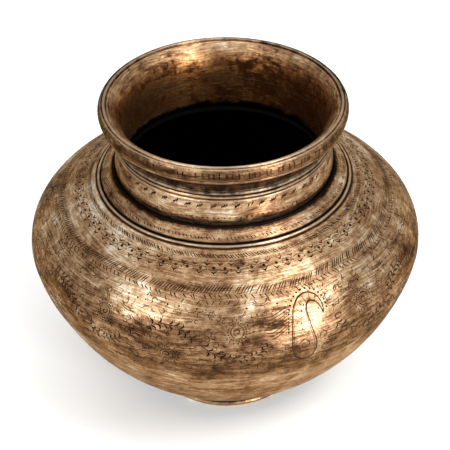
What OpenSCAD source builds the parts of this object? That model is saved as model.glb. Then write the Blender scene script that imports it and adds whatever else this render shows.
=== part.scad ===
// Engraved brass water pot: two raised sheet halves brazed together at the belly,
// a cast and turned mouth built up from rings, and a turned foot ring.
// Every piece is turned about Z. The origin is on the axis, where the foot stands.

/* [Body] */
// Diameter across the belly
belly_d = 240; // [230:1:260]
// Height of the widest line of the belly
belly_z = 105; // [98:1:110]
// Thickness of the raised sheet
sheet = 1.8; // [1.2:0.1:2.4]
// Diameter of the base, where the bowl turns flat
base_d = 88; // [86:1:92]
// Inside height of the foot, up to the base
base_z = 8; // [7.5:0.5:10]

/* [Shoulder] */
// Diameter of the upper edge of the shoulder
shoulder_d = 156; // [155.4:0.2:158]
// Height of the upper edge of the shoulder
shoulder_z = 149.2; // [148.8:0.1:150]

/* [Neck] */
// Diameter of the throat
throat_d = 120; // [116:1:122]
// Outer diameter of the neck band
neck_d = 131; // [130:0.5:132]
// Height of the lower edge of the neck band
neck_z = 158.4; // [158:0.1:159]
// Height of the upper edge of the neck
neck_top_z = 179.4; // [178.8:0.1:179.8]

/* [Lip] */
// Diameter across the lip
lip_d = 150; // [148:1:154]
// Height of the crest of the lip, which is the height of the pot
lip_z = 202; // [201:0.5:205]

/* [Foot] */
// Diameter across the foot ring
foot_d = 93; // [92:0.5:96]
// Inner diameter of the foot ring
foot_bore_d = 78; // [74:1:80]

/* [Joints] */
// Thickness of the brazing metal in a thin joint
braze = 0.6; // [0.4:0.1:0.8]
// Height of the brazed joint at the belly
belly_braze = 1.2; // [0.8:0.1:1.6]
// How far the brazing metal lies below the surface
braze_sunk = 0.5; // [0.2:0.1:0.6]

/* [Hidden] */
$fn = 180;

brass = "#9a7b4f";
worn_brass = "#b08f60";
dark_joint = "#3a2c22";

belly_r = belly_d / 2;
base_r = base_d / 2;
shoulder_r = shoulder_d / 2;
throat_r = throat_d / 2;
neck_r = neck_d / 2;
lip_r = lip_d / 2;
foot_r = foot_d / 2;

// Points along each curved stretch
steps = 24;

// A curve's four points: its start, its two handles and its end
shoulder_curve = [
  [shoulder_r, shoulder_z],
  [shoulder_r + 15, shoulder_z - 8.5],
  [belly_r, belly_z + 24],
  [belly_r, belly_z + belly_braze / 2]
];
bowl_curve = [
  [belly_r, belly_z - belly_braze / 2],
  [belly_r, belly_z - 7],
  [belly_r - 13, base_z + 36],
  [base_r, base_z]
];

// Flange: the sloping ring between the neck and the shoulder
flange_r = shoulder_r - braze;
flange_seat_z = neck_z - 2.8;
flange_bead_r = 0.9;

// Two beads at the top of the neck, one above the other
bead_r = 1.1;
bead_pitch = 2.7;
bead_centre_r = neck_r - 1.9;
bead_top_z = neck_top_z - bead_r;

// Bead round the foot ring
foot_bead_r = 2.2;

// Lip: crest, fullest point and lower edge
crest_r = lip_r - 4.4;
lip_edge_r = lip_r - 2;
lip_edge_z = lip_z - 10.4;
lip_bead_r = 0.8;
cove_r = neck_r - 1.7;
lip_foot_z = neck_top_z + braze;

// Point at t on a curve, its direction there, and the point one sheet thickness inside it
function on_curve(c, t) =
  pow(1 - t, 3) * c[0] + 3 * t * pow(1 - t, 2) * c[1]
  + 3 * t * t * (1 - t) * c[2] + pow(t, 3) * c[3];
function along(c, t) =
  pow(1 - t, 2) * (c[1] - c[0]) + 2 * t * (1 - t) * (c[2] - c[1]) + t * t * (c[3] - c[2]);
function under(c, t) =
  let (d = along(c, t) / norm(along(c, t)))
  on_curve(c, t) + sheet * [d.y, -d.x];

function curve_points(c) = [for (i = [0:steps]) on_curve(c, i / steps)];
function arc_points(centre, r, from, to) =
  [for (i = [0:steps]) let (a = from + (to - from) * i / steps) centre + r * [cos(a), sin(a)]];
function under_points(c, first, last) = [for (i = [last:-1:first]) under(c, i / steps)];

// Rounded outer side of the lip, from the crest down to the lower edge
module lip_section() {
  face = [[crest_r, lip_z], [lip_r + 0.6, lip_z - 0.6], [lip_r + 0.9, lip_z - 6], [lip_edge_r, lip_edge_z]];
  cove = [[lip_edge_r - 1.4, lip_edge_z - 0.7], [cove_r + 3, lip_edge_z - 1.2],
          [cove_r, lip_edge_z - 5], [cove_r, lip_foot_z]];
  flare = [[throat_r, lip_foot_z], [throat_r, lip_z - 12], [throat_r + 3.5, lip_z - 4.5], [crest_r - 1.4, lip_z - 1]];
  lower_bead = arc_points([lip_edge_r - 0.7, lip_edge_z], lip_bead_r, 0, -110);
  polygon(concat(curve_points(face), lower_bead, curve_points(cove), curve_points(flare)));
}

module lip_ring() {
  color(worn_brass)
    rotate_extrude()
      lip_section();
}

// Thin ring of brazing metal between the lip and the neck
module lip_braze() {
  color(dark_joint)
    translate([0, 0, neck_top_z])
      tube(cove_r - braze_sunk, throat_r, braze);
}

module neck_collar() {
  lower_bead = arc_points([bead_centre_r, bead_top_z - bead_pitch], bead_r, -75, 75);
  upper_bead = arc_points([bead_centre_r, bead_top_z], bead_r, -75, 75);
  color(brass)
    rotate_extrude()
      polygon(concat(
        [[throat_r, neck_z], [neck_r, neck_z], [neck_r + 0.5, neck_z + 0.8]],
        [[neck_r - 0.7, neck_top_z - 5.2], [bead_centre_r, neck_top_z - 5.2]],
        lower_bead,
        upper_bead,
        [[bead_centre_r, neck_top_z], [throat_r, neck_top_z]]
      ));
}

// Wide dark joint in the groove under the neck band
module neck_braze() {
  color(dark_joint)
    translate([0, 0, flange_seat_z])
      tube(neck_r - 1.4, throat_r, neck_z - flange_seat_z);
}

module neck_flange() {
  bead = arc_points([flange_r - 1.1, shoulder_z + 0.6], flange_bead_r, 170, -40);
  color(brass)
    rotate_extrude()
      polygon(concat(
        [[throat_r, flange_seat_z], [neck_r - 0.4, flange_seat_z]],
        [[neck_r + 0.9, flange_seat_z + 0.8], [flange_r - 2.6, shoulder_z + 2.5]],
        bead,
        [[flange_r, shoulder_z - 0.5], [flange_r, shoulder_z - 2.4]],
        [[throat_r + 2, flange_seat_z - 2.4], [throat_r, flange_seat_z - 2.2]]
      ));
}

module flange_braze() {
  color(dark_joint)
    translate([0, 0, shoulder_z - 2])
      tube(shoulder_r, flange_r, 2 - braze_sunk);
}

module upper_shoulder() {
  first = along(shoulder_curve, 0);
  color(brass)
    rotate_extrude()
      polygon(concat(
        curve_points(shoulder_curve),
        under_points(shoulder_curve, 1, steps),
        [[shoulder_r, shoulder_z - sheet * norm(first) / first.x]]
      ));
}

// Brazed joint at the belly, flush outside, with a small round bead inside
module belly_braze_ring() {
  color(worn_brass)
    rotate_extrude() {
      translate([belly_r - sheet - 0.4, belly_z - belly_braze / 2])
        square([sheet + 0.4, belly_braze]);
      translate([belly_r - sheet - 0.4, belly_z])
        circle(d = belly_braze);
    }
}

module lower_bowl() {
  color(brass)
    rotate_extrude()
      polygon(concat(
        curve_points(bowl_curve),
        [[0, base_z], [0, base_z + sheet]],
        [under(bowl_curve, 1) + [-1.5, -0.2]],
        under_points(bowl_curve, 0, steps - 1)
      ));
}

module foot_braze() {
  color(dark_joint)
    translate([0, 0, base_z - braze])
      tube(base_r - braze_sunk - 1, foot_bore_d / 2 + 0.6, braze);
}

module foot_ring() {
  top = base_z - braze;
  bead = arc_points([foot_r - foot_bead_r, foot_bead_r + 0.4], foot_bead_r, -65, 65);
  color(worn_brass)
    rotate_extrude()
      polygon(concat(
        [[foot_bore_d / 2, 0], [foot_r - 1.6, 0]],
        bead,
        [[foot_r - 2.6, 5.2], [base_r - 1, top], [foot_bore_d / 2, top]]
      ));
}

// Plain ring of outer radius ro, inner radius ri and height h
module tube(ro, ri, h) {
  rotate_extrude()
    translate([ri, 0])
      square([ro - ri, h]);
}

lip_ring();
lip_braze();
neck_collar();
neck_braze();
neck_flange();
flange_braze();
upper_shoulder();
belly_braze_ring();
lower_bowl();
foot_braze();
foot_ring();
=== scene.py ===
"""Engraved brass water pot: its looks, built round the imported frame.

A skin is an outline turned about the pot's axis on a (turn, row) grid. A cut made with a chasing tool
or a punch is a thin closed sliver of the dark filling that lies in it. Lengths are in millimetres until
a mesh is written, which is in metres.
"""
import math

import bpy
import numpy as np
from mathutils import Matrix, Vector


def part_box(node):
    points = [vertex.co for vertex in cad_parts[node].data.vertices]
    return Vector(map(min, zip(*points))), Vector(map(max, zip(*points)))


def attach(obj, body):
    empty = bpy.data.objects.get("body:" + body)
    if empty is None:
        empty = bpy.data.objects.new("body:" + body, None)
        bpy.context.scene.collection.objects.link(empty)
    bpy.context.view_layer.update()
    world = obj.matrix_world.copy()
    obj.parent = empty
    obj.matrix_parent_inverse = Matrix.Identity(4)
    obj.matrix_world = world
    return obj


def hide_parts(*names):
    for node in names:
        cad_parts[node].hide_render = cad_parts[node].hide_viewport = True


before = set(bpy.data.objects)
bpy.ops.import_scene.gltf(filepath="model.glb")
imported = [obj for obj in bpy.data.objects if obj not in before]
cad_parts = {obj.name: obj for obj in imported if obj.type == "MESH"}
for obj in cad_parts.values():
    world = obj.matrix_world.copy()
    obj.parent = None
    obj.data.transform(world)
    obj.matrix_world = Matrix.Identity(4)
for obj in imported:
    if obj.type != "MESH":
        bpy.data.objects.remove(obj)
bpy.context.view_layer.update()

MM = 0.001
TURN = 2 * math.pi
luck = np.random.default_rng(1874)


# ---- sizes, from the frame

def reach(node):
    """Outer radius, bottom and top of a node turned about the axis, in millimetres."""
    low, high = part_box(node)
    return high.x / MM, low.z / MM, high.z / MM


lip_r, lip_foot, lip_top = reach("lip_ring")
neck_r, neck_low, neck_top = reach("neck_collar")
flange_r, _, flange_seat = reach("neck_flange")
shoulder_r = reach("flange_braze")[0]
shoulder_top = reach("flange_braze")[2] + 0.5
belly_r, belly_high, _ = reach("upper_shoulder")
belly_low = reach("lower_bowl")[2]
base_z = reach("foot_braze")[2]
foot_r = reach("foot_ring")[0]

SHEET = 1.8
THROAT_R = 60.0
BASE_R = 44.0
FOOT_BORE_R = 39.0
belly_z = (belly_high + belly_low) / 2

# where the chased bands lie: radii on the shoulder from the top down, and the height of the last border
HATCH_R = 81.9
LOZENGE_R = 88.5
FEATHER_R = 100
BARB_R = 103.4
SCROLL_R = 105.5
SCROLL_FOOT_Z = 86


# ---- lines and curves

def bell(x, at, half, power=2):
    """A bell curve: 1 at the place at, fading over the half width, flatter on top for a higher power."""
    return np.exp(-((x - at) / half) ** power)


def round_to(turn, place):
    """The turn from place to turn, the shorter way round the pot."""
    return np.angle(np.exp(1j * (turn - place)))


def measured(line):
    """Distance along a line at each of its points."""
    return np.concatenate([[0], np.cumsum(np.hypot(*np.diff(line, axis=0).T))])


def bend(start, lead, draw, end, count=80):
    """Points along a cubic curve from start to end, pulled by the handles lead and draw."""
    t = np.linspace(0, 1, count)[:, None]
    start, lead, draw, end = (np.array(p, float) for p in (start, lead, draw, end))
    return (1 - t) ** 3 * start + 3 * t * (1 - t) ** 2 * lead + 3 * t * t * (1 - t) * draw + t**3 * end


def arc(centre, radius, first, last, count=24):
    """Points on a circle about centre, from the angle first to the angle last, in degrees."""
    a = np.radians(np.linspace(first, last, count))
    return np.array(centre) + radius * np.stack([np.cos(a), np.sin(a)], -1)


def paced(points, step):
    """The same line with its points a step apart, measured along it."""
    points = np.array(points, float)
    run = measured(points)
    even = np.linspace(0, run[-1], max(2, int(round(run[-1] / step)) + 1))
    return np.stack([np.interp(even, run, points[:, k]) for k in (0, 1)], -1)


def outward(points):
    """Unit normals of a line: its direction turned a quarter, so that they point out of the metal."""
    d = np.gradient(points, axis=0)
    d /= np.hypot(*d.T)[:, None] + 1e-9
    return np.stack([-d[:, 1], d[:, 0]], -1)


def scored(points, lines):
    """The line sunk by a rounded groove (a bell curve) at each (r, z, half width, depth)."""
    sink = np.zeros(len(points))
    for r, z, half, depth in lines:
        sink += depth * np.exp(-((points[:, 0] - r) ** 2 + (points[:, 1] - z) ** 2) / half**2)
    return points - outward(points) * sink[:, None]


def inside_of(points, thickness):
    """The line moved inwards by the thickness of the wall, in the opposite order."""
    return (points - outward(points) * thickness)[::-1]


def crisp(points):
    """The line with a point added a hair's breadth each side of every sharp corner, so that the corner
    shows as a fine worn edge, finer still in the lining."""
    edge = np.where(points[:, 0] < THROAT_R + 1, 0.015, 0.07)
    before = points - np.roll(points, 1, 0)
    after = np.roll(points, -1, 0) - points
    far_in, far_out = np.hypot(*before.T), np.hypot(*after.T)
    sharp = (before * after).sum(1) / (far_in * far_out) < math.cos(math.radians(35))
    sharp &= np.minimum(far_in, far_out) > 3 * edge
    sharp[[0, -1]] &= points[0, 0] > 0
    worn_in = points - before * (edge / far_in)[:, None]
    worn_out = points + after * (edge / far_out)[:, None]
    three = np.stack([worn_in, points, worn_out], 1).reshape(-1, 2)
    return three[np.stack([sharp, np.ones(len(sharp), bool), sharp], 1).ravel()]


def softened(points, passes):
    """Corners worn round: each point takes the mean of itself and its neighbours, the ends staying."""
    for _ in range(passes):
        middle = (points[:-2] + 2 * points[1:-1] + points[2:]) / 4
        points = np.vstack([points[:1], middle, points[-1:]])
    return points


# ---- the hand-made unevenness of the body

# slow waves: count round the pot, climb per mm of height, phase, depth
waves = [(luck.integers(2, 9), luck.uniform(0.02, 0.09), luck.uniform(0, TURN), luck.uniform(0.02, 0.07))
         for _ in range(12)]
# shallow dents: turn, height, width, depth
dents = [(luck.uniform(0, TURN), luck.uniform(40, 135), luck.uniform(7, 15), luck.uniform(0.15, 0.5))
         for _ in range(26)]
DENTED_R = 105


def hammered(points):
    """Points of the raised sheet drawn towards the middle of the belly by the sum of slow waves round
    the pot (sines) and shallow dents (bell curves), fading out at the turned rings."""
    x, y, z = points[..., 0], points[..., 1], points[..., 2]
    turn = np.arctan2(y, x)
    sink = np.zeros(x.shape)
    for count, climb, phase, depth in waves:
        sink += depth * (1 + np.sin(count * turn + climb * z + phase)) / 2
    for place, height, width, depth in dents:
        away = (round_to(turn, place) * DENTED_R) ** 2 + (z - height) ** 2
        sink += depth * np.exp(-away / width**2)
    sink *= np.clip((z - base_z) / 25, 0, 1) * np.clip((shoulder_top - 1 - z) / 12, 0, 1)
    middle = np.array([0, 0, belly_z])
    away = points - middle
    return middle + away * (1 - sink / np.maximum(np.linalg.norm(away, axis=-1), 1))[..., None]


def as_is(points):
    """Turned rings keep their shape."""
    return points


# ---- meshes

def shown(name, data):
    """An object in the scene that holds a mesh, lamp or camera."""
    item = bpy.data.objects.new(name, data)
    bpy.context.scene.collection.objects.link(item)
    return item


def new_piece(name, points, faces, paint=(), smooth=True):
    """A mesh object from points in millimetres and a list of face arrays (three or four columns). paint
    gives point attributes, one column for a number and three for a vector."""
    mesh = bpy.data.meshes.new(name)
    mesh.vertices.add(len(points))
    mesh.vertices.foreach_set("co", (np.asarray(points) * MM).astype(np.float32).ravel())
    corners = np.concatenate([f.ravel() for f in faces])
    sizes = np.concatenate([np.full(len(f), f.shape[1]) for f in faces])
    starts = np.concatenate([[0], np.cumsum(sizes)[:-1]])
    mesh.loops.add(len(corners))
    mesh.loops.foreach_set("vertex_index", corners.astype(np.int32))
    mesh.polygons.add(len(sizes))
    mesh.polygons.foreach_set("loop_start", starts.astype(np.int32))
    mesh.polygons.foreach_set("use_smooth", np.full(len(sizes), smooth))
    mesh.update(calc_edges=True)
    for label, values in dict(paint).items():
        kind, field = ("FLOAT_VECTOR", "vector") if values.ndim == 2 else ("FLOAT", "value")
        layer = mesh.attributes.new(label, kind, "POINT")
        layer.data.foreach_set(field, values.astype(np.float32).ravel())
    return shown(name, mesh)


def facing_out(rim):
    """1 where the skin faces away from the middle of the pot, -1 where it faces the middle."""
    away = rim - (0, belly_z)
    return (outward(rim) * away).sum(1) / np.hypot(*away.T)


def painted_shade_inside(rim):
    """How much painted shade blackens the lining: a little in the flare, more down the neck, wholly in
    the body. It also blackens the outer skin of the bowl next to the foot, within THROAT_R + 1.5 of the
    axis.
    """
    r, z = rim.T
    hidden = np.clip(-2.5 * facing_out(rim), 0, 1)
    hidden = np.where((r < THROAT_R + 1.5) & (z > base_z), np.maximum(hidden, 0.9), hidden)
    depth = np.interp(-z, (6 - lip_top, -neck_top, -neck_low - 7, -neck_low), (0, 0.03, 0.2, 1.3))
    return hidden * depth


def grime_and_shade_at(rim, turn):
    """How much old polish has gathered, with painted shade laid in, on a (turn, row) grid: a sum of bell
    curves across the skin, for a wide black line in the corner under the neck band, a brown film round
    each chased band, painted shade in the cove under the lip, a crest tarnished a little all round and
    darkened by painted shade on the side away from the camera, and a lining darker towards the back
    right."""
    r, z = rim.T
    corner = 1.6 * bell(r, neck_r + 0.5, 1.9) * bell(z, neck_low - 1.0, 3.2)
    film = 0.06 * bell(r, 74.5, 1.6) + 0.1 * bell(r, HATCH_R, 2.0)
    film += 0.06 * bell(r, LOZENGE_R, 4.0) + 0.12 * bell(r, FEATHER_R + 0.2, 3.2)
    border = 0.2 * bell(z, SCROLL_FOOT_Z + 3, 6)
    bands = np.where(z > belly_z, film, border * (z < belly_z))
    # painted shade: the cove under the overhang of the lip is darkened
    cove = 0.7 * bell(z, neck_top + 5, 6.5, 6) * (r < lip_r - 4)
    face = 0.4 * bell(z, lip_top - 5, 3.6) * (r > lip_r - 3)
    beads = 0.3 * bell(z, neck_top - 2.8, 3) * (z < neck_top + 1)
    lines = 1.15 * bell(r, flange_r - 2.4, 0.42) + 1.2 * bell(r, flange_r + 0.3, 0.5)
    lines *= np.abs(z - shoulder_top - 0.8) < 2.2
    # the body, darker towards the base and just above the widest part, lighter towards the top of the
    # shoulder
    body = np.interp(z, (base_z, belly_z - 40, belly_z - 15, belly_z + 10, belly_z + 22, shoulder_top),
                     (0.14, 0.04, 0.08, 0.2, -0.05, -0.2)) * (r > flange_r)
    grime_and_shade = (corner + bands + cove + face + beads + lines + body)[None, :]
    # the crest: a little tarnish all round, and painted shade that darkens it on the side away from the
    # camera
    crest = 0.85 * bell(r, lip_r - 2.4, 2.3) * bell(z, lip_top - 1, 2.4)
    far_side = np.clip(0.55 + 1.1 * np.sin(turn), 0.1, 1.6)
    grime_and_shade = grime_and_shade + crest[None, :] * far_side[:, None]
    # the lining, darker towards the back right
    lining = 0.3 * np.clip(np.cos(turn - math.radians(50)), 0, 1)
    hidden = np.clip(0.4 - 1.4 * facing_out(rim), 0, 1)
    return (grime_and_shade * (1 - hidden) + lining[:, None] * hidden).ravel()


def turned(name, outline, columns, shape=as_is, poles=False):
    """The outline carried round the axis: x = r cos(turn), y = r sin(turn), z = z. The outline runs up
    the inside and down the outside. It closes on itself, or with poles starts and ends on the axis.

    Its paint is wheel, which the wiping marks follow, measured along the outline or, on the body, by the
    angle about the middle of the belly, which has no step from piece to piece; hollow, how far a turned
    skin lies below its own softened shape; inner shade, painted shade that blackens the inside; grime
    and shade, grime with some painted shade laid in; and lining, how far a skin faces the middle of the
    pot."""
    outline = crisp(outline)
    rim = outline[1:-1] if poles else outline
    rows = len(rim)
    turn = np.linspace(0, TURN, columns, endpoint=False)
    around = np.stack([np.cos(turn), np.sin(turn)], -1)[:, None, :]
    grid = np.empty((columns, rows, 3))
    grid[..., :2], grid[..., 2] = around * rim[None, :, :1], rim[:, 1]
    i = np.arange(columns)[:, None]
    j = np.arange(rows - 1 if poles else rows)[None, :]
    i2, j2 = (i + 1) % columns, (j + 1) % rows
    quads = np.stack([i * rows + j, i * rows + j2, i2 * rows + j2, i2 * rows + j], -1).reshape(-1, 4)
    points, faces = grid.reshape(-1, 3), [quads]

    run = measured(rim)
    pace = np.median(np.diff(run))
    if shape is hammered:
        run = belly_r * np.arctan2(rim[:, 0], rim[:, 1] - belly_z)
    wheel = np.empty((columns, rows, 3))
    wheel[..., :2], wheel[..., 2] = around, run * MM
    calm = softened(rim, int(min(60, 1.1 / pace**2)))
    sunk = ((calm - rim) * outward(rim)).sum(1) * (facing_out(rim) > 0) * (shape is as_is)
    lining = np.clip(0.4 - 1.6 * facing_out(rim), 0, 1)
    paint = {"wheel": wheel.reshape(-1, 3), "hollow": np.tile(sunk, columns),
             "inner_shade": np.tile(painted_shade_inside(rim), columns), "grime_and_shade": grime_and_shade_at(rim, turn),
             "lining": np.tile(lining, columns)}
    if poles:
        points = np.vstack([points, [0, 0, outline[0, 1]], [0, 0, outline[-1, 1]]])
        ends = {"wheel": [(0, 0, 0), (0, 0, run[-1] * MM)], "hollow": (0, 0), "inner_shade": (1, 0),
                "grime_and_shade": (0, 0), "lining": (1, 0)}
        paint = {label: np.concatenate([paint[label], ends[label]]) for label in paint}
        inner_pole, outer_pole = columns * rows, columns * rows + 1
        k = np.arange(columns) * rows
        k2 = np.roll(k, -1)
        faces.append(np.stack([np.full(columns, inner_pole), k, k2], -1))
        faces.append(np.stack([k + rows - 1, np.full(columns, outer_pole), k2 + rows - 1], -1))
    return new_piece(name, shape(points), faces, paint)


# ---- outlines of the pot's pieces

def shoulder_line():
    """The outside of the shoulder, from the flange down to the belly seam."""
    return bend((shoulder_r, shoulder_top), (shoulder_r + 15, shoulder_top - 8.5),
                (belly_r, belly_z + 24), (belly_r, belly_high), 200)


def bowl_line():
    """The outside of the lower half, from the belly seam down to the base."""
    return bend((belly_r, belly_low), (belly_r, belly_z - 7),
                (belly_r - 13, base_z + 36), (BASE_R, base_z), 200)


def lip_face():
    """The rounded outer face of the lip, from the crest down to the lower bead."""
    return bend((lip_r - 4.1, lip_top), (lip_r + 0.6, lip_top - 0.6), (lip_r + 0.6, lip_top - 6),
                (lip_r - 1.8, lip_top - 10.4))


def lip_outline():
    """Flare up the inside, crest with a scored line each side, rounded face, lower bead, deep cove."""
    crest = lip_r - 4.1
    edge, edge_z, cove_r = lip_r - 1.8, lip_top - 10.4, neck_r - 1.9
    flare = bend((THROAT_R, lip_foot), (THROAT_R, lip_top - 12), (THROAT_R + 3.5, lip_top - 4.5),
                 (crest - 1.4, lip_top - 1))
    bead = arc((edge - 0.8, edge_z), 0.8, 0, -110)
    cove = bend((edge - 1.5, edge_z - 0.7), (cove_r + 3, edge_z - 1.2), (cove_r, edge_z - 5),
                (cove_r, lip_foot))
    high = flare[:, 1] > lip_top - 5
    inner = paced(flare[~high], 1.2)
    outer = softened(paced(np.vstack([flare[high], lip_face(), bead, cove]), 0.3), 2)
    outer = scored(outer, [
        (crest - 1.3, lip_top - 0.9, 0.5, 0.6),
        (crest + 1.6, lip_top - 0.5, 0.5, 0.6),
        (edge + 0.3, edge_z + 1.5, 0.55, 0.6),
    ])
    floor = paced([(cove_r, lip_foot), (THROAT_R, lip_foot)], 1.0)[1:-1]
    return np.vstack([inner, outer[1:], floor])


def collar_outline():
    """Neck band leaning in a little, with two round beads above a scored line."""
    bead, centre, top = 1.1, neck_r - 2.4, neck_top - 1.1
    outer = np.vstack([
        [(centre - 0.6, neck_top)],
        arc((centre, top), bead, 90, -70),
        arc((centre, top - 2.7), bead, 70, -75),
        [(centre - 0.3, neck_top - 5.2), (neck_r - 1.4, neck_top - 5.3), (neck_r - 0.9, neck_top - 6.0)],
        [(neck_r, neck_low + 1.4), (neck_r - 0.3, neck_low + 0.4), (neck_r - 1.2, neck_low)],
    ])
    outer = softened(paced(outer, 0.3), 2)
    inner = paced([(THROAT_R, neck_low), (THROAT_R, neck_top)], 2.0)
    foot = paced([outer[-1], inner[0]], 1.0)[1:-1]
    head = paced([inner[-1], outer[0]], 1.0)[1:-1]
    return np.vstack([inner, head, outer, foot])


def flange_outline():
    """Sloping ring with a rounded inner edge, a scored line and a bead along its outer edge."""
    inner_edge = neck_r + 0.4
    outer = np.vstack([
        [(inner_edge - 1.4, flange_seat), (inner_edge - 0.2, flange_seat + 0.1)],
        arc((inner_edge + 0.6, flange_seat - 0.3), 1.0, 110, 62, 8),
        [(flange_r - 2.7, shoulder_top + 2.4), (flange_r - 2.1, shoulder_top + 1.0)],
        arc((flange_r - 1.15, shoulder_top + 0.6), 0.95, 165, -20),
        [(flange_r - 0.1, shoulder_top - 0.6), (flange_r, shoulder_top - 1.2)],
    ])
    outer = softened(paced(outer, 0.3), 1)
    under = paced([(flange_r, shoulder_top - 2.4), (THROAT_R + 2, flange_seat - 2.4),
                   (THROAT_R, flange_seat - 2.2), (THROAT_R, flange_seat)], 1.5)
    seat = paced([under[-1], outer[0]], 1.0)[1:-1]
    return np.vstack([under, seat, outer])


def shoulder_outline():
    """The upper half of the sheet, the same thickness all over."""
    line = paced(shoulder_line(), 0.9)
    under = inside_of(line, SHEET)[::2]
    under[-1, 0] = shoulder_r
    return np.vstack([under, line])


def bowl_outline():
    """The lower half of the sheet and the flat base, from the axis inside to the axis outside."""
    outer = np.vstack([bowl_line(), [(0, base_z)]])
    outer = softened(paced(outer, 1.6), 3)
    outer[-1] = (0, base_z)
    inner = inside_of(outer, SHEET)
    inner = inner[inner[:, 0] >= 0][::3]
    inner[0] = (0, base_z + SHEET)
    return np.vstack([inner, outer])


def foot_outline():
    """Turned ring: flat underneath, a full round bead low down and a waist above it."""
    top = base_z - 0.6
    bead = 2.2
    outer = np.vstack([
        [(BASE_R - 1, top), (foot_r - 2.8, 5.3)],
        arc((foot_r - bead, bead + 0.4), bead, 65, -65),
        [(foot_r - 1.6, 0)],
    ])
    outer = softened(paced(outer, 0.35), 2)
    rest = paced([(foot_r - 1.6, 0), (FOOT_BORE_R + 0.5, 0), (FOOT_BORE_R, 0.5), (FOOT_BORE_R, top)],
                 0.8)
    head = paced([rest[-1], outer[0]], 1.0)[1:-1]
    return np.vstack([rest, head, outer])


def joint_outline(outer_r, low, high, inner_r, sag):
    """Brazing metal in a joint: a plain ring whose outer face is hollowed by sag (a parabola)."""
    z = np.linspace(high, low, 7)
    face = np.stack([outer_r - sag * (1 - ((2 * z - low - high) / (high - low)) ** 2), z], -1)
    back = paced([(inner_r, low), (inner_r, high)], 1.0)
    return np.vstack([back, face])


# ---- chasing and punching

# real cuts would be too fine to show, so their filling is drawn this many times as wide
CHISEL = 1.55
PUNCH = 1.25
# how far the filling stands above the skin, and how deep it reaches
PROUD = 0.035
RING_PROUD = 0.02
CROWN_PROUD = 0.05
DEEP = 0.22


def on_skin(line, marks, lift, shape):
    """Points lifted off the skin of a turned line, at marks of (turn, distance along the line)."""
    run, normal = measured(line), outward(line)
    turn, along = marks[..., 0], marks[..., 1]
    r, z, nr, nz = (np.interp(along, run, v) for v in (*line.T, *normal.T))
    c, s = np.cos(turn), np.sin(turn)
    return shape(np.stack([r * c, r * s, z], -1)) + lift * np.stack([nr * c, nr * s, nz], -1)


def placed(stroke, line, turn, along, tilt=0.0, size=1.0):
    """Copies of a stroke of (across, down) points in millimetres, tilted and sized, at each turn and
    distance along the line."""
    each = np.broadcast_arrays(turn, along, tilt, size)
    turn, along, tilt, size = (np.atleast_1d(v)[:, None] for v in each)
    stroke = np.array(stroke, float)
    across = size * (np.cos(tilt) * stroke[:, 0] - np.sin(tilt) * stroke[:, 1])
    down = size * (np.sin(tilt) * stroke[:, 0] + np.cos(tilt) * stroke[:, 1])
    radius = np.interp(along, measured(line), line[:, 0])
    return np.stack([turn + across / radius, along + down], -1)


def slivers(line, paths, half, shape):
    """Cuts along paths, with a half width at each point of a path: three-sided slivers of filling, flat
    on the skin and pointed below."""
    count, steps = paths.shape[:2]
    top, low = on_skin(line, paths, PROUD, shape), on_skin(line, paths, -DEEP, shape)
    side = np.cross(np.gradient(top, axis=1), top - low)
    side *= (CHISEL * np.array(half) / np.maximum(np.linalg.norm(side, axis=-1), 1e-9))[..., None]
    points = np.stack([top - side, top + side, low], 2).reshape(-1, 3)
    start = np.arange(count) * steps * 3
    end = start + (steps - 1) * 3
    k = start[:, None] + np.arange(steps - 1)[None, :] * 3
    faces = [np.stack([k + a, k + b, k + b + 3, k + a + 3], -1).reshape(-1, 4)
             for a, b in ((0, 1), (1, 2), (2, 0))]
    faces += [np.stack([start, start + 2, start + 1], -1), np.stack([end, end + 1, end + 2], -1)]
    return points, faces


def bosses(line, marks, radius, shape):
    """Punched dots at marks: an eight-sided boss of filling over a pointed pit."""
    count, sides = len(marks), 8
    a = np.linspace(0, TURN, sides, endpoint=False)
    far = np.interp(marks[:, 1], measured(line), line[:, 0])[:, None]
    radius = PUNCH * np.broadcast_to(radius, (count,))[:, None]
    ring = np.stack([marks[:, :1] + radius * np.cos(a) / far, marks[:, 1:] - radius * np.sin(a)], -1)
    ring = on_skin(line, ring, RING_PROUD, shape)
    crown, pit = on_skin(line, marks, CROWN_PROUD, shape), on_skin(line, marks, -DEEP, shape)
    points = np.concatenate([ring, crown[:, None], pit[:, None]], 1).reshape(-1, 3)
    first = np.arange(count)[:, None] * (sides + 2)
    k = np.arange(sides)[None, :]
    k2 = (k + 1) % sides
    faces = [np.stack([first + k, first + k2, first + sides + 0 * k], -1).reshape(-1, 3),
             np.stack([first + k2, first + k, first + sides + 1 + 0 * k], -1).reshape(-1, 3)]
    return points, faces


def chased(name, line, cuts, dots, shape=as_is):
    """The dark filling of every cut (paths, half widths) and dot (marks, radius) in one piece."""
    filling = [slivers(line, *cut, shape) for cut in cuts] + [bosses(line, *dot, shape) for dot in dots]
    before = np.cumsum([0] + [len(points) for points, faces in filling])
    faces = [face + shift for shift, (_, made) in zip(before, filling) for face in made]
    return new_piece(name, np.concatenate([points for points, _ in filling]), faces, smooth=False)


def shaken(count, spread):
    """Errors of the hand: random numbers about zero."""
    return luck.normal(0, spread, count)


def round_the_pot(count, shake):
    """Turns of count equal places round the pot, each shaken by a share of the gap between them."""
    return (np.arange(count) + shaken(count, shake)) * TURN / count


def dotted_row(count, shake, along, sway):
    """Marks of a row of dots round the pot, at a distance along the line."""
    return np.stack([round_the_pot(count, shake), along + shaken(count, sway)], -1)


def kept(marks, share):
    """The marks that wear has left: a random share of them."""
    return marks[luck.random(len(marks)) < share]


def taper(steps, wide, narrow):
    """Half widths of a cut that starts wide and runs out narrow."""
    return np.linspace(wide, narrow, steps)


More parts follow.
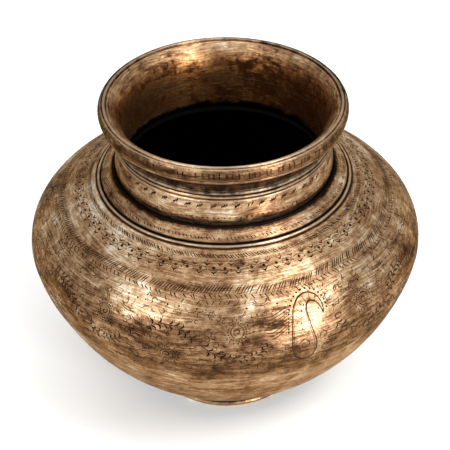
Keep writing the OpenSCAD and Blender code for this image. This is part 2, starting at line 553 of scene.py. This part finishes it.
def leafy(steps, wide):
    """Half widths of a cut that swells in the middle: a sine."""
    return 0.06 + wide * np.sin(np.linspace(0.12, math.pi - 0.12, steps))


def curl(radius, first, last, count, grow=0.0):
    """A curling stroke: an arc whose radius grows along it."""
    a = np.radians(np.linspace(first, last, count))
    r = radius * (1 + grow * np.linspace(0, 1, count))
    return np.stack([r * np.cos(a), r * np.sin(a)], -1)


def lip_cuts():
    """Upright ticks low on the face of the lip, bent to its curve, and a row of fine dots above them."""
    face = paced(lip_face(), 0.3)
    ticks, dots = 126, 150
    turn = round_the_pot(ticks, 0.15)
    upright = np.stack([np.zeros(9), np.linspace(-2.1, 2.1, 9)], -1)
    stroke = placed(upright, face, turn, 6.9 + shaken(ticks, 0.2), shaken(ticks, 0.07),
                    luck.uniform(0.8, 1.1, ticks))
    marks = np.stack([round_the_pot(dots, 0.2), np.full(dots, 3.4)], -1)
    cuts = [(kept(stroke, 0.9), taper(9, 0.3, 0.22))]
    return chased("lip_ticks", face, cuts, [(kept(marks, 0.6), 0.26)])


def neck_cuts():
    """A row of three-stroke fans under the beads, with fine dots above it and a row of dots low down."""
    band = paced([(neck_r - 0.9, neck_top - 6.0), (neck_r, neck_low + 1.4)], 0.5)
    fans = 56
    turn = round_the_pot(fans, 0.06)
    cuts = []
    for across in (-1.2, 0.0, 1.15):
        rise = -0.4 * across
        stroke = [(across + 0.55, rise - 1.0), (across, rise), (across - 0.55, rise + 1.15)]
        ray = placed(stroke, band, turn, 2.9 + shaken(fans, 0.12), shaken(fans, 0.12))
        cuts.append((kept(ray, 0.96), taper(3, 0.36, 0.16)))
    low = dotted_row(128, 0.08, 11.0, 0.12)
    high = dotted_row(190, 0.1, 0.7, 0.08)
    return chased("neck_fans_and_dots", band, cuts, [(kept(low, 0.93), 0.42), (kept(high, 0.5), 0.2)])


def flange_cuts():
    """Short slanting dashes towards the outer edge of the flange, fainter ones near its inner edge, and
    fine specks between."""
    edge = neck_r + 1.55
    slope = paced([(edge, flange_seat + 0.55), (flange_r - 2.7, shoulder_top + 2.4)], 0.4)
    far = measured(slope)[-1]
    dashes, faint, specks = 194, 150, 260
    outer = placed([(-0.6, -0.8), (0, 0), (0.5, 0.8)], slope, round_the_pot(dashes, 0.12),
                   far - 2.3 + shaken(dashes, 0.15), shaken(dashes, 0.15))
    inner = placed([(-0.3, -0.7), (0.3, 0.7)], slope, round_the_pot(faint, 0.2),
                   1.6 + shaken(faint, 0.2), shaken(faint, 0.3))
    marks = np.stack([luck.uniform(0, TURN, specks), luck.uniform(2.2, far - 3.6, specks)], -1)
    return chased("flange_dashes", slope,
                  [(kept(outer, 0.85), taper(3, 0.24, 0.12)), (kept(inner, 0.6), taper(2, 0.2, 0.1))],
                  [(marks, luck.uniform(0.1, 0.2, specks))])


body_line = paced(np.vstack([shoulder_line(), bowl_line()]), 0.5)
body_run = measured(body_line)


def down_at(r):
    """Distance down the shoulder at the radius r."""
    upper = body_line[:, 1] > belly_z
    return float(np.interp(r, body_line[upper, 0], body_run[upper]))


def down_to(z):
    """Distance down the body at the height z."""
    return float(np.interp(-z, -body_line[:, 1], body_run))


def hand_sway(turn):
    """How far a band drawn by eye wanders down and up: two sines."""
    return 0.9 * np.sin(9 * turn) + 0.5 * np.sin(4 * turn + 1)


def shoulder_cuts():
    """From the top: a hatched border, a band of linked lozenges with a dot in each, and a feather band
    with short barbs below it, all among fine specks."""
    cuts, dots = [], []
    hatches = 312
    stroke = placed([(-1.1, -1.15), (0.0, 0.0), (1.2, 1.25)], body_line, round_the_pot(hatches, 0.12),
                    down_at(HATCH_R) + shaken(hatches, 0.12), shaken(hatches, 0.08))
    cuts.append((kept(stroke, 0.95), taper(3, 0.2, 0.12)))

    lozenges = 76
    middle = down_at(LOZENGE_R)
    cells = round_the_pot(lozenges, 0.03)
    half = TURN / (2 * lozenges)
    for turn, wide, stroke in ((cells, 0.36, [(-1.9, 1.9), (-0.3, 3.3), (1.6, 2.0)]),
                               (cells + half, 0.34, [(-1.9, -3.5), (-0.2, -2.0), (1.6, -3.3)])):
        chevron = placed(stroke, body_line, turn, middle, shaken(lozenges, 0.1))
        cuts.append((kept(chevron, 0.93), leafy(3, wide)))
    for flip in (-1, 1):
        arch = np.array([(-3.2, 0.5), (-1.9, 1.2), (0, 1.5), (1.9, 1.2), (3.2, 0.5)]) * (1, flip)
        cuts.append((kept(placed(arch, body_line, cells, middle), 0.7), np.full(5, 0.12)))
    for shift, down, radius, share in (
            (0, 0.0, 0.8, 0.97), (half, 0.9, 0.36, 0.8), (half, -4.6, 0.3, 0.6)):
        marks = np.stack([cells + shift, np.full(lozenges, middle + down)], -1)
        dots.append((kept(marks + luck.normal(0, 1, marks.shape) * (0.001, 0.12), share), radius))
    for down in (-4.4, 4.3):
        dots.append((kept(dotted_row(330, 0.1, middle + down, 0.12), 0.8), 0.2))

    feathers, barbs, specks = 358, 220, 700
    turn = round_the_pot(feathers, 0.1)
    feather = placed([(1.75, -2.6), (0.1, -0.5), (-1.75, 2.6)], body_line, turn,
                     down_at(FEATHER_R) + hand_sway(turn), shaken(feathers, 0.05),
                     luck.uniform(0.85, 1.1, feathers))
    cuts.append((kept(feather, 0.95), leafy(3, 0.17)))
    turn = round_the_pot(barbs, 0.15)
    barb = placed([(-0.7, -1.2), (0.1, 0.1), (1.0, 1.3)], body_line, turn,
                  down_at(BARB_R) + hand_sway(turn), shaken(barbs, 0.15), luck.uniform(0.7, 1.2, barbs))
    cuts.append((kept(barb, 0.85), taper(3, 0.27, 0.12)))
    marks = np.stack([luck.uniform(0, TURN, specks),
                      luck.uniform(down_at(79), down_at(103), specks)], -1)
    dots.append((marks, luck.uniform(0.08, 0.2, specks)))
    return chased("shoulder_bands", body_line, cuts, dots, hammered)


def leaf_motif(cuts, dots, turn, along):
    """A tall mango leaf with a hooked tip and a round foot: a fine double outline, a coil in the foot,
    small scales and dots up the middle, a dotted fringe behind the tip, and loose tendrils blown to one
    side. Its half width grows along a bent spine as a power, then rounds off as a circle does."""
    hook = bend((12, -10), (14, -24), (-2, -27), (-3, -11), 30)
    stem = bend((-3, -11), (-3.5, 0), (-2, 10), (1.5, 20.5), 30)[1:]
    spine = paced(np.vstack([hook, stem]), 0.9)
    t = np.linspace(0, 1, len(spine))
    widest = 0.76
    round_foot = np.sqrt(np.clip(1 - ((t - widest) / (1 - widest)) ** 2, 0, 1))
    swell = 7.6 * np.where(t < widest, (t / widest) ** 0.9, round_foot)
    side = outward(spine)
    off = side * swell[:, None]

    def put(stroke, half):
        cuts.append((placed(stroke, body_line, turn, along), np.broadcast_to(half, len(stroke))))

    def dot(points, radius):
        dots.append((placed(points, body_line, turn, along).reshape(-1, 2), radius))

    for inset, wide in ((1.0, 0.22), (0.84, 0.11)):
        put(spine + inset * off, wide)
        put(spine - inset * off, wide)
    coil = int(widest * len(spine))
    put(curl(4.8, 60, 640, 46, -0.8) + spine[coil], 0.17)
    for k in range(12, coil - 8, 4):
        across = 0.62 * off[k]
        put([spine[k] - across, spine[k] - 0.5 * across + (0, 1.1), spine[k] + (0, 1.5),
             spine[k] + 0.5 * across + (0, 1.1), spine[k] + across], 0.12)
    dot(spine[10:coil - 6:4] + (0, 2.6), 0.36)
    fringe = slice(3, int(0.62 * len(spine)), 2)
    for gap, radius in ((2.4, 0.55), (3.9, 0.24)):
        dot(spine[fringe] + side[fringe] * (swell[fringe, None] + gap), radius)
    for k in range(4, int(0.5 * len(spine)), 2):
        foot = spine[k] + side[k] * (swell[k] + 4.8)
        put([foot, foot + 1.3 * side[k]], (0.22, 0.12))
    for centre, radius, first, last in (((12.5, 13), 4.6, -100, 330), ((-11.5, 15), 3.4, 280, -120),
                                        ((10.5, 3), 2.8, 160, 470), ((-12.5, 5), 2.4, 30, 330)):
        put(curl(radius, first, last, 26, -0.6) + centre, 0.16)
        dot(curl(radius + 1.5, first, last, int(radius * 4)) + centre, 0.28)
    for k in range(8):
        put(bend((-7.5 - 0.2 * k, -19 + 1.5 * k), (-13, -20 + 1.9 * k), (-20, -12 + 1.6 * k),
                 (-32 + 1.5 * k, -16 + 2.0 * k), 16), leafy(16, 0.1))


def medallions(cuts, dots, turn, along, size):
    """Round medallions, from the rim in: short rays, a ring of dots, a broken ring, a coiled heart."""
    lean = luck.uniform(0, 6, len(turn))
    beads = placed(curl(5.0, 0, 343, 22), body_line, turn, along, 0, size).reshape(-1, 2)
    dots.append((kept(beads, 0.88), 0.36))
    for angle in np.radians(np.arange(0, 360, 20)):
        ray = np.array([6.2, 7.3])[:, None] * (np.cos(angle), np.sin(angle))
        cuts.append((kept(placed(ray, body_line, turn, along, lean, size), 0.8), (0.26, 0.14)))
    for first, last in ((10, 150), (175, 330)):
        ring = placed(curl(3.6, first, last, 12), body_line, turn, along, lean, size)
        cuts.append((kept(ring, 0.88), leafy(12, 0.14)))
    heart = placed(curl(2.2, 0, 420, 20, -0.8), body_line, turn, along, lean, size)
    cuts.append((heart, leafy(20, 0.18)))


def vine(cuts, dots, turn, along, lean):
    """A stem of short strokes with a hooked leaf on each side, turned along the stem."""
    stem = placed([(-1.9, 0), (0, 0.1), (1.9, 0)], body_line, turn, along, lean)
    cuts.append((kept(stem, 0.85), np.full(3, 0.14)))
    for way in (-1, 1):
        leaf = [(-0.6, 0.5 * way), (0.7, 1.2 * way), (1.3, 2.4 * way), (0.9, 3.6 * way)]
        spot = placed(leaf, body_line, turn, along, lean + luck.normal(0, 0.16, len(turn)),
                      luck.uniform(0.8, 1.2, len(turn)))
        cuts.append((kept(spot, 0.85), leafy(4, 0.32)))
        tips = placed([(2.6, 3.9 * way)], body_line, turn, along, lean).reshape(-1, 2)
        dots.append((kept(tips, 0.4), 0.34))


LEAVES = np.radians([-67, 53, 173])
VINE_WAVES = 9
VINE_SWING = 10.5
VINE_R = 112


def vine_phase(turn):
    """The angle of the vine's sine at a turn, such that the vine is highest at each leaf."""
    return VINE_WAVES * (turn - LEAVES[0]) + math.pi / 2


def free_places(top, foot, taken):
    """Places for small figures: a shaken grid over the band, less what lies on the vine or inside the
    ovals in taken, each a turn, a distance, a half width and a half height."""
    columns, rows = 150, 11
    turn, step = np.meshgrid(np.arange(columns), np.arange(rows), indexing="ij")
    turn = (turn + 0.5 * (step % 2) + luck.normal(0, 0.24, turn.shape)) * TURN / columns
    along = top + 2 + (step + 0.5 + luck.normal(0, 0.2, step.shape)) * (foot - top - 5) / rows
    turn, along = turn.ravel(), along.ravel()
    clear = np.abs(along - (top + foot) / 2 + VINE_SWING * np.sin(vine_phase(turn))) > 4.2
    for place, height, wide, tall in taken:
        clear &= (round_to(turn, place) / wide) ** 2 + ((along - height) / tall) ** 2 > 1
    return turn[clear], along[clear]


def small_figures(cuts, dots, turn, along):
    """Curls, hooks, wavy strokes, arcs, strings of beads and lone dots, one drawn by lot for each place
    and some places left bare, and fine specks round them."""
    lot = luck.integers(0, 16, len(turn))
    tilt = luck.choice([0.0, math.pi], len(turn)) + luck.normal(0, 0.45, len(turn))
    size = luck.uniform(0.5, 1.05, len(turn))
    figures = (
        [(curl(1.9, -60, 200, 10), leafy(10, 0.13)), ([(1.0, -1.6), (2.4, -2.0)], taper(2, 0.2, 0.1))],
        [(curl(1.5, 40, 330, 10, 0.4), leafy(10, 0.12))],
        [([(-4.0, 0.8), (-1.6, -0.5), (1.2, 0.3), (3.6, -0.6)], leafy(4, 0.1))],
        [([(-5.5, 0.3), (-2, -0.8), (2, -0.5), (5.5, 0.9)], leafy(4, 0.1)),
         ([(-4.8, 1.5), (-1.5, 0.4), (2.2, 0.8), (5.0, 2.1)], leafy(4, 0.08))],
        [([(-3.2, 0.3), (-1, -0.4), (1.4, -0.2), (3.4, 0.6)], leafy(4, 0.12))],
        [(curl(2.3, 190, 350, 8), leafy(8, 0.14)), (curl(1.2, 200, 340, 6), leafy(6, 0.1))],
        [([(-1.4, 1.2), (-0.5, -0.2), (0.1, -1.5)], taper(3, 0.22, 0.09))],
        [([(0.3, -1.6), (-0.4, -0.4), (0.2, 0.9), (1.3, 1.6)], taper(4, 0.2, 0.08))],
    )
    for number, strokes in enumerate(figures):
        at = lot == number
        for stroke, half in strokes:
            cuts.append((placed(stroke, body_line, turn[at], along[at], tilt[at], size[at]), half))
    lone = lot >= 12
    dots.append((np.stack([turn[lone], along[lone]], -1), luck.uniform(0.25, 0.55, lone.sum())))
    at = lot == 11
    beads = placed(curl(3.2, 200, 340, 7), body_line, turn[at], along[at], tilt[at]).reshape(-1, 2)
    dots.append((beads, 0.3))
    specks = 640
    by = luck.choice(len(turn), specks)
    near = np.stack([turn[by], along[by]], -1) + luck.normal(0, 1, (specks, 2)) * (0.022, 2.2)
    dots.append((near, luck.uniform(0.1, 0.26, specks)))


def belly_border(cuts, top, foot):
    """Sparse sprigs along the top of the scrollwork, and long dashes over short nicks along its foot."""
    sprigs, dashes, nicks = 150, 120, 240
    turn = round_the_pot(sprigs, 0.15)
    for stroke in ([(-0.2, -1.1), (-0.7, 0.2), (-1.5, 1.3)], [(0.2, -1.1), (0.6, 0.2), (1.3, 1.3)]):
        cuts.append((kept(placed(stroke, body_line, turn, top + 0.4), 0.25), taper(3, 0.12, 0.2)))
    dash = placed([(-2.4, 0.2), (0, -0.1), (2.4, 0.15)], body_line, round_the_pot(dashes, 0.2),
                  foot + shaken(dashes, 0.3))
    cuts.append((kept(dash, 0.8), leafy(3, 0.14)))
    nick = placed([(-0.5, -1.0), (0.3, 1.0)], body_line, round_the_pot(nicks, 0.2),
                  foot - 2.2 + shaken(nicks, 0.3), shaken(nicks, 0.3))
    cuts.append((kept(nick, 0.6), taper(2, 0.2, 0.1)))


def belly_cuts():
    """Scrollwork over the widest part: a waving vine (a sine) with a medallion in each of its bends,
    broken by three tall leaves, with small figures in the gaps and a border along each edge."""
    cuts, dots = [], []
    top, foot = down_at(SCROLL_R), down_to(SCROLL_FOOT_Z)
    middle = (top + foot) / 2
    leaf_motif(cuts, dots, LEAVES, middle)
    bends = LEAVES[0] + np.arange(2 * VINE_WAVES) * math.pi / VINE_WAVES
    free = np.abs(round_to(bends[:, None], LEAVES)).min(1) > 0.24
    rounds = bends[free]
    heights = middle + np.where(np.arange(2 * VINE_WAVES) % 2, -7.5, 8.5)[free]
    heights += shaken(len(rounds), 0.6)
    medallions(cuts, dots, rounds, heights, luck.uniform(0.9, 1.15, len(rounds)))

    turn = round_the_pot(220, 0.05)
    turn = turn[np.abs(round_to(turn[:, None], LEAVES - 0.03)).min(1) > 0.17]
    lean = np.arctan(-VINE_SWING * VINE_WAVES * np.cos(vine_phase(turn)) / VINE_R)
    vine(cuts, dots, turn, middle - VINE_SWING * np.sin(vine_phase(turn)), lean)

    taken = [(leaf - 0.03, middle, 0.2, 25) for leaf in LEAVES]
    taken += [(place, height, 0.072, 8) for place, height in zip(rounds, heights)]
    small_figures(cuts, dots, *free_places(top, foot, taken))
    belly_border(cuts, top, foot)
    return chased("belly_scrollwork", body_line, cuts, dots, hammered)


# ---- finishes

def colour(hexed):
    """A display colour given as hex, made linear."""
    c = np.array([int(hexed[k:k + 2], 16) for k in (0, 2, 4)]) / 255
    c = np.where(c <= 0.04045, c / 12.92, ((c + 0.055) / 1.055) ** 2.4)
    return (*c.tolist(), 1.0)


def finish(name):
    """An empty material and its node tree, with a Principled surface wired to the output."""
    material = bpy.data.materials.new(name)
    material.use_nodes = True
    tree = material.node_tree
    tree.nodes.clear()
    surface = tree.nodes.new("ShaderNodeBsdfPrincipled")
    end = tree.nodes.new("ShaderNodeOutputMaterial")
    tree.links.new(surface.outputs[0], end.inputs["Surface"])
    return material, tree, surface


def add(tree, kind, wires=None, **fields):
    """A node with its own fields set, and each input given a plain value or a wire."""
    made = tree.nodes.new(kind)
    for field, value in fields.items():
        setattr(made, field, value)
    join(tree, made, wires or {})
    return made


def join(tree, made, wires):
    """Give a node's inputs, by name or place, their values or wires."""
    for label, value in wires.items():
        if isinstance(value, bpy.types.Node):
            value = value.outputs[0]
        if isinstance(value, bpy.types.NodeSocket):
            tree.links.new(value, made.inputs[label])
        else:
            made.inputs[label].default_value = value


def coat(tree, under, value, low, high, share, hexed):
    """A colour laid over what is under it where the value passes from low to high, easing in and out, up
    to the share given. Gives the new colour and how thickly the coat lies."""
    lies = add(tree, "ShaderNodeMapRange", {0: value, 1: low, 2: high, 3: 0.0, 4: share},
               interpolation_type="SMOOTHSTEP")
    layer = add(tree, "ShaderNodeMix", {0: lies, 6: under, 7: colour(hexed)}, data_type="RGBA")
    return layer.outputs[2], lies


def wiped(tree, around, down, detail, seed):
    """Streaks left by wiping and scouring round the pot: noise with so many streaks to the metre around
    and down, swaying as a hand does."""
    wheel = add(tree, "ShaderNodeAttribute", attribute_name="wheel")
    drift = summed(tree, (clouds(tree, 55, 1), 0.010), (1.0, -0.005))
    sway = add(tree, "ShaderNodeCombineXYZ", {2: drift})
    sway = add(tree, "ShaderNodeVectorMath", {0: wheel.outputs["Vector"], 1: sway}, operation="ADD")
    stretch = add(tree, "ShaderNodeVectorMath", {0: sway, 1: (around, around, down)},
                  operation="MULTIPLY")
    shift = add(tree, "ShaderNodeVectorMath", {0: stretch, 1: (seed, seed * 1.7, 0)}, operation="ADD")
    return add(tree, "ShaderNodeTexNoise", {"Vector": shift, "Scale": 1.0, "Detail": detail,
                                            "Roughness": 0.6})


def clouds(tree, size_mm, detail, rough=0.6, swirl=0.0, seed=0.0):
    """Soft patches of about the size given, through the body of the metal: noise of 1000 / size to the
    metre, moved by the seed."""
    place = add(tree, "ShaderNodeTexCoord").outputs["Object"]
    shift = add(tree, "ShaderNodeVectorMath", {0: place, 1: (seed, 0.3 * seed, -seed)}, operation="ADD")
    return add(tree, "ShaderNodeTexNoise", {"Vector": shift, "Scale": 1000 / size_mm, "Detail": detail,
                                            "Roughness": rough, "Distortion": swirl})


def summed(tree, *parts):
    """A weighted sum of values: pairs of value and weight."""
    total = 0.0
    for value, weight in parts:
        total = add(tree, "ShaderNodeMath", {0: value, 1: weight, 2: total}, operation="MULTIPLY_ADD")
    return total


def old_brass(name, seed, lift, rough, relief_strength):
    """Brass gone brown in the air and scoured by hand for years. It gives the eye a warm worn shine
    drawn out round the pot, purple-brown stains, black crust in the corners, some of it painted shade,
    and a lining tinted warm by painted bounce light and blackened by painted shade, deeper down."""
    material, tree, surface = finish(name)
    # scouring lines are some 0.1 mm apart and would not show: they are drawn 0.7, 3 and 14 mm apart
    fine = wiped(tree, 9, 1500, 3.0, seed)
    coarse = wiped(tree, 6, 330, 4.0, 3.1 + seed)
    band = wiped(tree, 2.5, 70, 3.0, 7.7 + seed)
    patch = clouds(tree, 34, 5, 0.62, 0.6, seed)
    mottle = clouds(tree, 7, 4, 0.65, 0.4, 2.0 + seed)
    grain = clouds(tree, 2.2, 3, 0.6, 0.3, 4.0 + seed)
    speck = clouds(tree, 1.1, 2, 0.5, 0.0, 5.0)
    hollow, inner_shade, grime_and_shade, lining = (add(tree, "ShaderNodeAttribute", attribute_name=label).outputs["Fac"]
                                   for label in ("hollow", "inner_shade", "grime_and_shade", "lining"))

    # from bare scoured metal to toned brown
    tone = summed(tree, (fine, 1.0), (coarse, 0.5), (band, 0.4), (patch, 1.15), (mottle, 0.75),
                  (grain, 0.4), (grime_and_shade, 0.75), (1.0, lift - 1.67))
    strip = add(tree, "ShaderNodeValToRGB", {0: tone})
    stops = ((0.06, "e6d8c2"), (0.32, "b69672"), (0.60, "805e41"), (0.86, "472f1d"))
    while len(strip.color_ramp.elements) < len(stops):
        strip.color_ramp.elements.new(0.5)
    for element, (place, hexed) in zip(strip.color_ramp.elements, stops):
        element.position, element.color = place, colour(hexed)

    # over it: stains, pits, worn ridges, crust in the hollows, a warm tint of the inside that is painted
    # bounce light, and painted shade that blackens the inside, deeper down, and darkens the darkest
    # mottles
    blotch = summed(tree, (patch, 1.0), (coarse, 0.6), (mottle, 1.1), (grime_and_shade, 0.35), (lining, 0.2))
    skin, stained = coat(tree, strip.outputs[0], blotch, 1.52, 1.80, 0.85, "3a2617")
    skin, pitted = coat(tree, skin, speck, 0.66, 0.74, 0.75, "2e1f19")
    skin, _ = coat(tree, skin, hollow, -0.04, -0.24, 0.5, "d3ba9c")
    packed = add(tree, "ShaderNodeMapRange", {0: hollow, 1: 0.03, 2: 0.14, 3: 0.0, 4: 0.6},
                 interpolation_type="SMOOTHSTEP")
    caked = summed(tree, (packed, 1.0), (grime_and_shade, 0.62), (mottle, 0.8), (coarse, 0.3))
    skin, crust = coat(tree, skin, caked, 0.78, 1.2, 0.95, "15100d")
    # painted bounce light: the lining tinted warm
    skin = add(tree, "ShaderNodeMix", {0: lining, 6: skin, 7: colour("fadcb4")}, data_type="RGBA",
               blend_type="MULTIPLY").outputs[2]
    # painted shade: black inside the pot, deeper down, which also darkens the darkest mottles
    skin, black = coat(tree, skin, summed(tree, (mottle, 0.9), (inner_shade, 1.0)), 0.52, 1.35, 1.0, "050403")

    dull = add(tree, "ShaderNodeMath", {0: stained, 1: crust}, operation="MAXIMUM")
    gloss = summed(tree, (tone, 0.14), (fine, 0.12), (dull, 0.4), (black, 0.25), (1.0, rough - 0.13))
    height = summed(tree, (fine, 0.5), (coarse, 1.0), (mottle, 0.8), (pitted, -0.6))
    relief = add(tree, "ShaderNodeBump", {"Strength": relief_strength, "Distance": 0.0006,
                                          "Height": height})
    lay = add(tree, "ShaderNodeTangent", direction_type="RADIAL", axis="Z")
    join(tree, surface, {"Base Color": skin, "Roughness": gloss, "Metallic": 1.0, "Normal": relief,
                         "Specular Tint": colour("d6c2ae"), "Anisotropic": 0.55,
                         "Anisotropic Rotation": 0.25, "Tangent": lay})
    return material


def joint_metal():
    """Brazing metal in the seams, never scoured: greyer and darker than the brass, dull and lumpy."""
    material, tree, surface = finish("braze_left_dark_in_the_seams")
    patch = clouds(tree, 3.5, 4)
    grain = clouds(tree, 0.6, 2)
    inner_shade = add(tree, "ShaderNodeAttribute", attribute_name="inner_shade").outputs["Fac"]
    skin, _ = coat(tree, colour("4a3524"), patch, 0.4, 0.62, 1.0, "17100c")
    # painted shade: the seams go black where they lie deep inside the pot
    skin, _ = coat(tree, skin, inner_shade, 0.0, 0.6, 1.0, "050403")
    relief = add(tree, "ShaderNodeBump", {"Strength": 0.6, "Distance": 0.0003, "Height": patch})
    gloss = add(tree, "ShaderNodeMapRange", {0: grain, 1: 0.3, 2: 0.7, 3: 0.45, 4: 0.75},
                interpolation_type="SMOOTHSTEP")
    join(tree, surface, {"Base Color": skin, "Roughness": gloss, "Metallic": 0.6, "Normal": relief})
    return material


def packed_dirt():
    """Old polish and dirt packed in the chased lines: brown-black and dull, worn paler in patches."""
    material, tree, surface = finish("polish_and_dirt_in_the_chasing")
    patch = clouds(tree, 9, 3)
    grain = clouds(tree, 0.5, 2)
    skin, _ = coat(tree, colour("22150d"), patch, 0.42, 0.66, 1.0, "4a3120")
    relief = add(tree, "ShaderNodeBump", {"Strength": 0.5, "Distance": 0.0001, "Height": grain})
    gloss = add(tree, "ShaderNodeMapRange", {0: grain, 1: 0.3, 2: 0.7, 3: 0.5, 4: 0.8},
                interpolation_type="SMOOTHSTEP")
    join(tree, surface, {"Base Color": skin, "Roughness": gloss, "Metallic": 1.0, "Normal": relief})
    return material


raised = old_brass("raised_brass_scoured_by_hand", 0.0, 0.06, 0.40, 0.6)
cast = old_brass("cast_brass_turned_and_scoured", 0.37, 0.06, 0.38, 0.5)
flush = old_brass("belly_joint_scoured_flush", 0.0, 0.05, 0.41, 0.5)
braze = joint_metal()
dirt = packed_dirt()


# ---- the pot

def dressed(piece, material):
    """A piece of the pot gets its finish."""
    piece.data.materials.append(material)
    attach(piece, "root")


def stand_in(piece, node, material):
    """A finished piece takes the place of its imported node."""
    dressed(piece, material)
    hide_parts(node)


stand_in(turned("lip", lip_outline(), 600), "lip_ring", cast)
stand_in(turned("collar", collar_outline(), 720), "neck_collar", cast)
stand_in(turned("flange", flange_outline(), 720), "neck_flange", cast)
stand_in(turned("shoulder", shoulder_outline(), 720, hammered), "upper_shoulder", raised)
stand_in(turned("bowl", bowl_outline(), 640, hammered, poles=True), "lower_bowl", raised)
stand_in(turned("foot", foot_outline(), 480), "foot_ring", cast)

for name, node, inset, bore in (
        ("lip_seam", "lip_braze", 0, THROAT_R),
        ("neck_seam", "neck_braze", 0, THROAT_R),
        ("flange_seam", "flange_braze", 0.05, flange_r),
        ("foot_seam", "foot_braze", 0, FOOT_BORE_R + 0.6)):
    outer_r, low, high = reach(node)
    seam = turned(name, joint_outline(outer_r - inset, low, high, bore, 0.12), 360)
    stand_in(seam, node, braze)
belly_seam = joint_outline(belly_r - 0.04, belly_low, belly_high, belly_r - 2.2, 0.06)
stand_in(turned("belly_seam", belly_seam, 720, hammered), "belly_braze_ring", flush)

dressed(lip_cuts(), dirt)
dressed(neck_cuts(), dirt)
dressed(flange_cuts(), dirt)
dressed(shoulder_cuts(), dirt)
dressed(belly_cuts(), dirt)


# ---- floor, light and camera

def floor():
    """A plain near-white table top."""
    material, tree, surface = finish("plain_pale_floor")
    join(tree, surface, {"Base Color": colour("f7f6f4"), "Roughness": 0.6})
    mesh = bpy.data.meshes.new("floor")
    mesh.from_pydata([(-4, -4, 0), (4, -4, 0), (4, 4, 0), (-4, 4, 0)], [], [(0, 1, 2, 3)])
    mesh.materials.append(material)
    sheet = shown("floor", mesh)


def aimed(item, place, target, roll=0.0):
    """Stand a lamp or camera at place, looking at target, with a small roll."""
    back = np.array(place, float) - target
    back /= np.linalg.norm(back)
    right = np.cross((0, 0, 1), back)
    right /= np.linalg.norm(right)
    up = np.cross(back, right)
    right, up = right - roll * up, up + roll * right
    grid = np.eye(4)
    for column, axis in enumerate((right, up)):
        grid[:3, column] = axis / np.linalg.norm(axis)
    grid[:3, 2], grid[:3, 3] = back, place
    item.matrix_world = grid.T


def soft_box(name, direction, distance, wide, tall, power, tint):
    """A soft box of the size given in metres that faces the belly of the pot."""
    lamp = bpy.data.lights.new(name, "AREA")
    lamp.shape, lamp.size, lamp.size_y, lamp.energy, lamp.color = "RECTANGLE", wide, tall, power, tint
    middle = np.array([0, 0, 0.11])
    direction = np.array(direction, float)
    place = middle + distance * direction / np.linalg.norm(direction)
    aimed(shown(name, lamp), place, middle)


floor()
daylight, white = (0.89, 0.95, 1.0), (1, 1, 1)
soft_box("box_from_the_left", (-0.62, -0.63, 0.46), 1.5, 0.8, 0.9, 10, daylight)
soft_box("box_from_the_right", (0.56, -0.40, 0.76), 1.5, 0.6, 0.7, 12, daylight)
soft_box("strip_from_the_right", (0.59, -0.80, 0.10), 1.4, 0.22, 0.7, 23, daylight)
soft_box("fill_from_above", (0.0, 0.1, 1.0), 2.2, 2.2, 2.2, 15, white)

# a white room, brighter towards the ceiling and the front right
world = bpy.data.worlds.new("white_room")
world.use_nodes = True
way = add(world.node_tree, "ShaderNodeSeparateXYZ", {0: add(world.node_tree, "ShaderNodeTexCoord")})
glow = summed(world.node_tree, (way.outputs["X"], 0.2), (way.outputs["Y"], -0.12),
              (way.outputs["Z"], 0.8))
glow = add(world.node_tree, "ShaderNodeMapRange", {0: glow, 1: -0.55, 2: 0.35, 3: 0.35, 4: 0.82},
           interpolation_type="SMOOTHSTEP")
join(world.node_tree, world.node_tree.nodes["Background"], {"Color": (1, 1, 1, 1), "Strength": glow})
bpy.context.scene.world = world
bpy.context.scene.view_settings.view_transform = "Standard"

eye = bpy.data.cameras.new("view_from_above_the_lip")
eye.lens, eye.sensor_width = 153.0, 36
eye.clip_start, eye.clip_end = 0.05, 20
viewer = shown("view_from_above_the_lip", eye)
# held 1.2 m from the middle of the pot, looking down over the lip, with the slight roll of a hand
stand = np.array([0, -0.9573, 0.8111])
pitch = math.radians(36.24)
roll = 0.0157
aimed(viewer, stand, stand + np.array([0, math.cos(pitch), -math.sin(pitch)]), roll)
bpy.context.scene.camera = viewer
